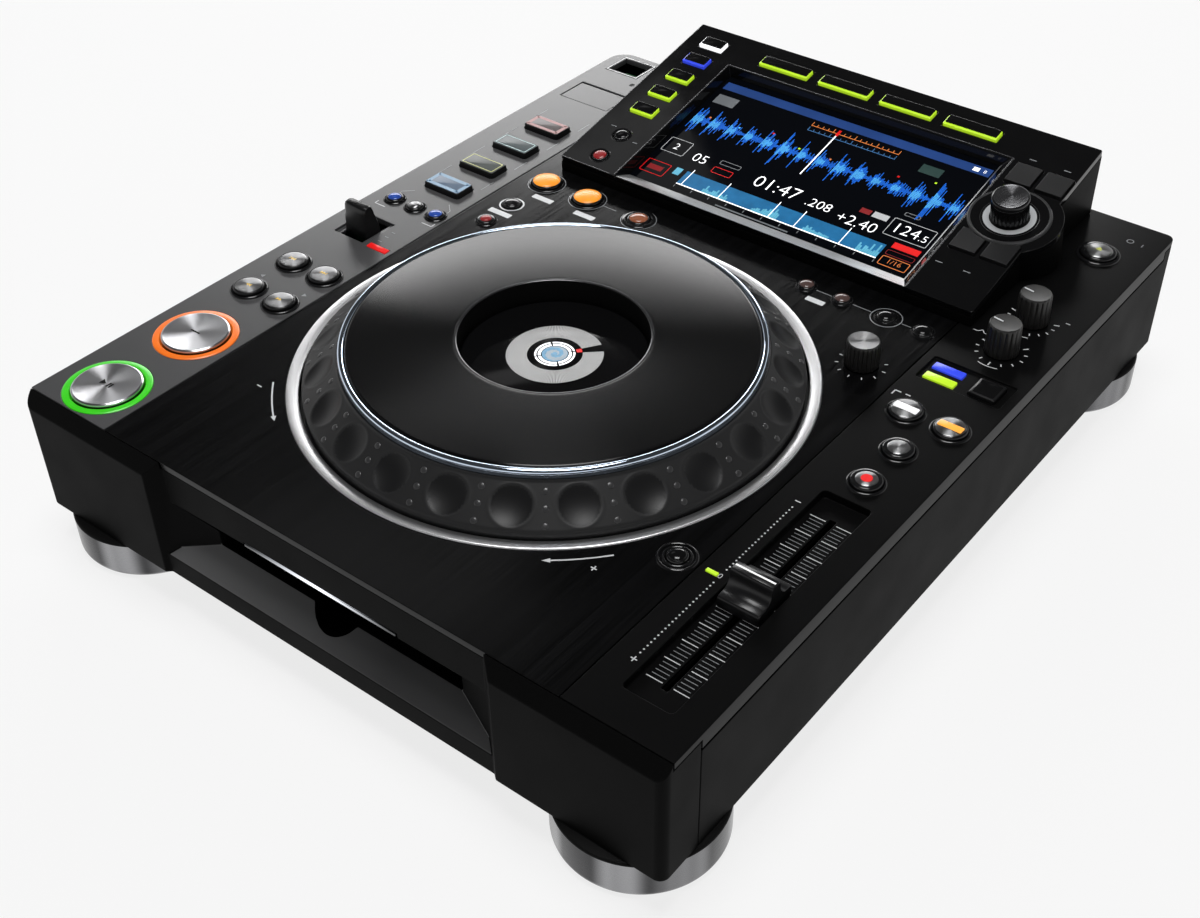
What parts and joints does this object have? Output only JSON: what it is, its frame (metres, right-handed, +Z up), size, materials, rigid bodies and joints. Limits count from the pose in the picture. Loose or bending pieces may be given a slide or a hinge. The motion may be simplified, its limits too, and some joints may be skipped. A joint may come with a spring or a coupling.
{
  "type": "tabletop disc player with jog wheel and tilted display",
  "caption": "Tabletop DJ disc player with a front loading slot, a large jog wheel, a tilted colour display, pads, keys, knobs and a tempo fader.",
  "frame": {"origin": "on the table under the middle of the case, at the height of the feet's undersides", "axes": "+X to the right, +Y to the rear, +Z up; the disc slot faces -Y"},
  "size_m": [0.325, 0.401, 0.1087],
  "materials": {
    "case_plastic": "fine grained dark graphite",
    "strip_graphite": "matte graphite",
    "deck_metal": "brushed black anodised",
    "strip_black": "matte black",
    "gloss_black": "polished black",
    "bright_metal": "polished, turned",
    "spun_metal": "spun finish",
    "grip_rubber": "matte soft grip",
    "key_black": "satin",
    "key_grey": "satin",
    "key_glow": "lit skirt, dark cap",
    "key_orange": "lit dome",
    "pad_cap": "translucent, lit edge",
    "screen_glass": "lit colour display under glass",
    "lens": "clear lenses, lit",
    "foot_metal": "turned silver foot",
    "sheet_steel": "folded sheet",
    "board_green": "circuit board",
    "steel": "plain"
  },
  "bodies": {
    "case": {"base_tray": "sheet_steel", "case_shell": "case_plastic", "front_panel": "case_plastic", "left_deck_panel": "strip_graphite", "centre_plate": "deck_metal", "right_deck_panel": "strip_black", "jog_well": "key_black", "jog_well_ring": "bright_metal", "jog_bearing": "steel", "jog_display": "screen_glass", "display_housing": "key_black", "display_panel": "gloss_black", "display_screen": "screen_glass", "light_guides": "lens", "feet": "foot_metal", "rear_panel": "case_plastic", "disc_drive": "key_black", "circuit_boards": "board_green", "power_supply": "steel", "screws": "steel"},
    "jog": {"jog_wheel": "grip_rubber", "jog_platter": "gloss_black"},
    "tempo_fader": {"tempo_fader": "key_black"},
    "direction_lever": {"direction_lever": "key_black"},
    "selector_shaft": {"selector_shaft": "steel"},
    "selector_knob": {"selector_knob": "gloss_black"},
    "jog_adjust_knob": {"jog_adjust_knob": "key_black"},
    "rear_adjust_knob": {"rear_adjust_knob": "key_black"},
    "front_adjust_knob": {"front_adjust_knob": "key_black"},
    "play_button": {"play_button": "spun_metal"},
    "cue_button": {"cue_button": "spun_metal"},
    "search_back_button": {"search_back_button": "spun_metal"},
    "search_forward_button": {"search_forward_button": "spun_metal"},
    "track_back_button": {"track_back_button": "spun_metal"},
    "track_forward_button": {"track_forward_button": "spun_metal"},
    "bank_keys": {"bank_keys": "key_black"},
    "pad_1": {"pad_1": "pad_cap"},
    "pad_2": {"pad_2": "pad_cap"},
    "pad_3": {"pad_3": "pad_cap"},
    "pad_4": {"pad_4": "pad_cap"},
    "loop_in_button": {"loop_in_button": "key_orange"},
    "loop_out_button": {"loop_out_button": "key_orange"},
    "reloop_button": {"reloop_button": "key_black"},
    "slice_keys": {"slice_keys": "key_black"},
    "call_keys": {"call_keys": "key_black"},
    "delete_button": {"delete_button": "key_black"},
    "memory_button": {"memory_button": "key_black"},
    "tempo_reset_button": {"tempo_reset_button": "key_black"},
    "eject_button": {"eject_button": "spun_metal"},
    "mode_button": {"mode_button": "key_black"},
    "sync_button": {"sync_button": "key_black"},
    "master_button": {"master_button": "key_black"},
    "tempo_range_button": {"tempo_range_button": "key_black"},
    "master_tempo_button": {"master_tempo_button": "key_black"},
    "source_keys": {"source_keys": "key_glow"},
    "menu_keys": {"menu_keys": "key_glow"},
    "browse_keys": {"browse_keys": "key_grey"},
    "side_keys": {"side_keys": "key_black"},
    "card_door": {"card_door": "strip_graphite"},
    "power_switch": {"power_switch": "key_black"}
  },
  "joints": [
    {"name": "jog_turn", "type": "hinge", "parent": "case", "child": "jog", "pos_m": [0, -0.0544, 0.075], "axis": [0, 0, 1], "continuous": true},
    {"name": "tempo_slide", "type": "slide", "parent": "case", "child": "tempo_fader", "axis": [0, 1, 0], "range_m": [-0.05, 0.05]},
    {"name": "direction_tilt", "type": "hinge", "parent": "case", "child": "direction_lever", "pos_m": [-0.1405, -0.022, 0.066], "axis": [1, 0, 0], "range_deg": [-18, 6]},
    {"name": "selector_push", "type": "slide", "parent": "case", "child": "selector_shaft", "axis": [0, 0.2106, -0.9776], "range_m": [0, 0.0008], "stiffness_N_per_m": 300, "springref_m": -0.002},
    {"name": "selector_turn", "type": "hinge", "parent": "selector_shaft", "child": "selector_knob", "pos_m": [0.1048, 0.13354, 0.0953], "axis": [0, -0.2106, 0.9776], "continuous": true},
    {"name": "jog_adjust_turn", "type": "hinge", "parent": "case", "child": "jog_adjust_knob", "pos_m": [0.097, 0.02439, 0.075], "axis": [0, 0, 1], "range_deg": [-150, 150]},
    {"name": "rear_adjust_turn", "type": "hinge", "parent": "case", "child": "rear_adjust_knob", "pos_m": [0.1383, 0.0944, 0.075], "axis": [0, 0, 1], "range_deg": [-150, 150]},
    {"name": "front_adjust_turn", "type": "hinge", "parent": "case", "child": "front_adjust_knob", "pos_m": [0.1383, 0.067, 0.075], "axis": [0, 0, 1], "range_deg": [-150, 150]},
    {"name": "play_button_push", "type": "slide", "parent": "case", "child": "play_button", "axis": [0, 0, -1], "range_m": [0, 0.0012], "stiffness_N_per_m": 300, "springref_m": -0.002},
    {"name": "cue_button_push", "type": "slide", "parent": "case", "child": "cue_button", "axis": [0, 0, -1], "range_m": [0, 0.0012], "stiffness_N_per_m": 300, "springref_m": -0.002},
    {"name": "search_back_button_push", "type": "slide", "parent": "case", "child": "search_back_button", "axis": [0, 0, -1], "range_m": [0, 0.0012], "stiffness_N_per_m": 300, "springref_m": -0.002},
    {"name": "search_forward_button_push", "type": "slide", "parent": "case", "child": "search_forward_button", "axis": [0, 0, -1], "range_m": [0, 0.0012], "stiffness_N_per_m": 300, "springref_m": -0.002},
    {"name": "track_back_button_push", "type": "slide", "parent": "case", "child": "track_back_button", "axis": [0, 0, -1], "range_m": [0, 0.0012], "stiffness_N_per_m": 300, "springref_m": -0.002},
    {"name": "track_forward_button_push", "type": "slide", "parent": "case", "child": "track_forward_button", "axis": [0, 0, -1], "range_m": [0, 0.0012], "stiffness_N_per_m": 300, "springref_m": -0.002},
    {"name": "bank_keys_push", "type": "slide", "parent": "case", "child": "bank_keys", "axis": [0, 0, -1], "range_m": [0, 0.0012], "stiffness_N_per_m": 300, "springref_m": -0.002},
    {"name": "pad_1_push", "type": "slide", "parent": "case", "child": "pad_1", "axis": [0, 0, -1], "range_m": [0, 0.0012], "stiffness_N_per_m": 300, "springref_m": -0.002},
    {"name": "pad_2_push", "type": "slide", "parent": "case", "child": "pad_2", "axis": [0, 0, -1], "range_m": [0, 0.0012], "stiffness_N_per_m": 300, "springref_m": -0.002},
    {"name": "pad_3_push", "type": "slide", "parent": "case", "child": "pad_3", "axis": [0, 0, -1], "range_m": [0, 0.0012], "stiffness_N_per_m": 300, "springref_m": -0.002},
    {"name": "pad_4_push", "type": "slide", "parent": "case", "child": "pad_4", "axis": [0, 0, -1], "range_m": [0, 0.0012], "stiffness_N_per_m": 300, "springref_m": -0.002},
    {"name": "loop_in_button_push", "type": "slide", "parent": "case", "child": "loop_in_button", "axis": [0, 0, -1], "range_m": [0, 0.0012], "stiffness_N_per_m": 300, "springref_m": -0.002},
    {"name": "loop_out_button_push", "type": "slide", "parent": "case", "child": "loop_out_button", "axis": [0, 0, -1], "range_m": [0, 0.0012], "stiffness_N_per_m": 300, "springref_m": -0.002},
    {"name": "reloop_button_push", "type": "slide", "parent": "case", "child": "reloop_button", "axis": [0, 0, -1], "range_m": [0, 0.0012], "stiffness_N_per_m": 300, "springref_m": -0.002},
    {"name": "slice_keys_push", "type": "slide", "parent": "case", "child": "slice_keys", "axis": [0, 0, -1], "range_m": [0, 0.0012], "stiffness_N_per_m": 300, "springref_m": -0.002},
    {"name": "call_keys_push", "type": "slide", "parent": "case", "child": "call_keys", "axis": [0, 0, -1], "range_m": [0, 0.0012], "stiffness_N_per_m": 300, "springref_m": -0.002},
    {"name": "delete_button_push", "type": "slide", "parent": "case", "child": "delete_button", "axis": [0, 0, -1], "range_m": [0, 0.0012], "stiffness_N_per_m": 300, "springref_m": -0.002},
    {"name": "memory_button_push", "type": "slide", "parent": "case", "child": "memory_button", "axis": [0, 0, -1], "range_m": [0, 0.0012], "stiffness_N_per_m": 300, "springref_m": -0.002},
    {"name": "tempo_reset_button_push", "type": "slide", "parent": "case", "child": "tempo_reset_button", "axis": [0, 0, -1], "range_m": [0, 0.0012], "stiffness_N_per_m": 300, "springref_m": -0.002},
    {"name": "eject_button_push", "type": "slide", "parent": "case", "child": "eject_button", "axis": [0, 0, -1], "range_m": [0, 0.0012], "stiffness_N_per_m": 300, "springref_m": -0.002},
    {"name": "mode_button_push", "type": "slide", "parent": "case", "child": "mode_button", "axis": [0, 0, -1], "range_m": [0, 0.0012], "stiffness_N_per_m": 300, "springref_m": -0.002},
    {"name": "sync_button_push", "type": "slide", "parent": "case", "child": "sync_button", "axis": [0, 0, -1], "range_m": [0, 0.0012], "stiffness_N_per_m": 300, "springref_m": -0.002},
    {"name": "master_button_push", "type": "slide", "parent": "case", "child": "master_button", "axis": [0, 0, -1], "range_m": [0, 0.0012], "stiffness_N_per_m": 300, "springref_m": -0.002},
    {"name": "tempo_range_button_push", "type": "slide", "parent": "case", "child": "tempo_range_button", "axis": [0, 0, -1], "range_m": [0, 0.0012], "stiffness_N_per_m": 300, "springref_m": -0.002},
    {"name": "master_tempo_button_push", "type": "slide", "parent": "case", "child": "master_tempo_button", "axis": [0, 0, -1], "range_m": [0, 0.0012], "stiffness_N_per_m": 300, "springref_m": -0.002},
    {"name": "source_keys_push", "type": "slide", "parent": "case", "child": "source_keys", "axis": [0, 0.2106, -0.9776], "range_m": [0, 0.0012], "stiffness_N_per_m": 300, "springref_m": -0.002},
    {"name": "menu_keys_push", "type": "slide", "parent": "case", "child": "menu_keys", "axis": [0, 0.2106, -0.9776], "range_m": [0, 0.0012], "stiffness_N_per_m": 300, "springref_m": -0.002},
    {"name": "browse_keys_push", "type": "slide", "parent": "case", "child": "browse_keys", "axis": [0, 0.2106, -0.9776], "range_m": [0, 0.0012], "stiffness_N_per_m": 300, "springref_m": -0.002},
    {"name": "side_keys_push", "type": "slide", "parent": "case", "child": "side_keys", "axis": [0, 0.2106, -0.9776], "range_m": [0, 0.0012], "stiffness_N_per_m": 300, "springref_m": -0.002},
    {"name": "card_door_hinge", "type": "hinge", "parent": "case", "child": "card_door", "pos_m": [-0.1382, 0.153, 0.0735], "axis": [-1, 0, 0], "range_deg": [0, 95]},
    {"name": "power_rocker", "type": "hinge", "parent": "case", "child": "power_switch", "pos_m": [-0.103, 0.1895, 0.04425], "axis": [1, 0, 0], "range_deg": [0, 16]}
  ]
}
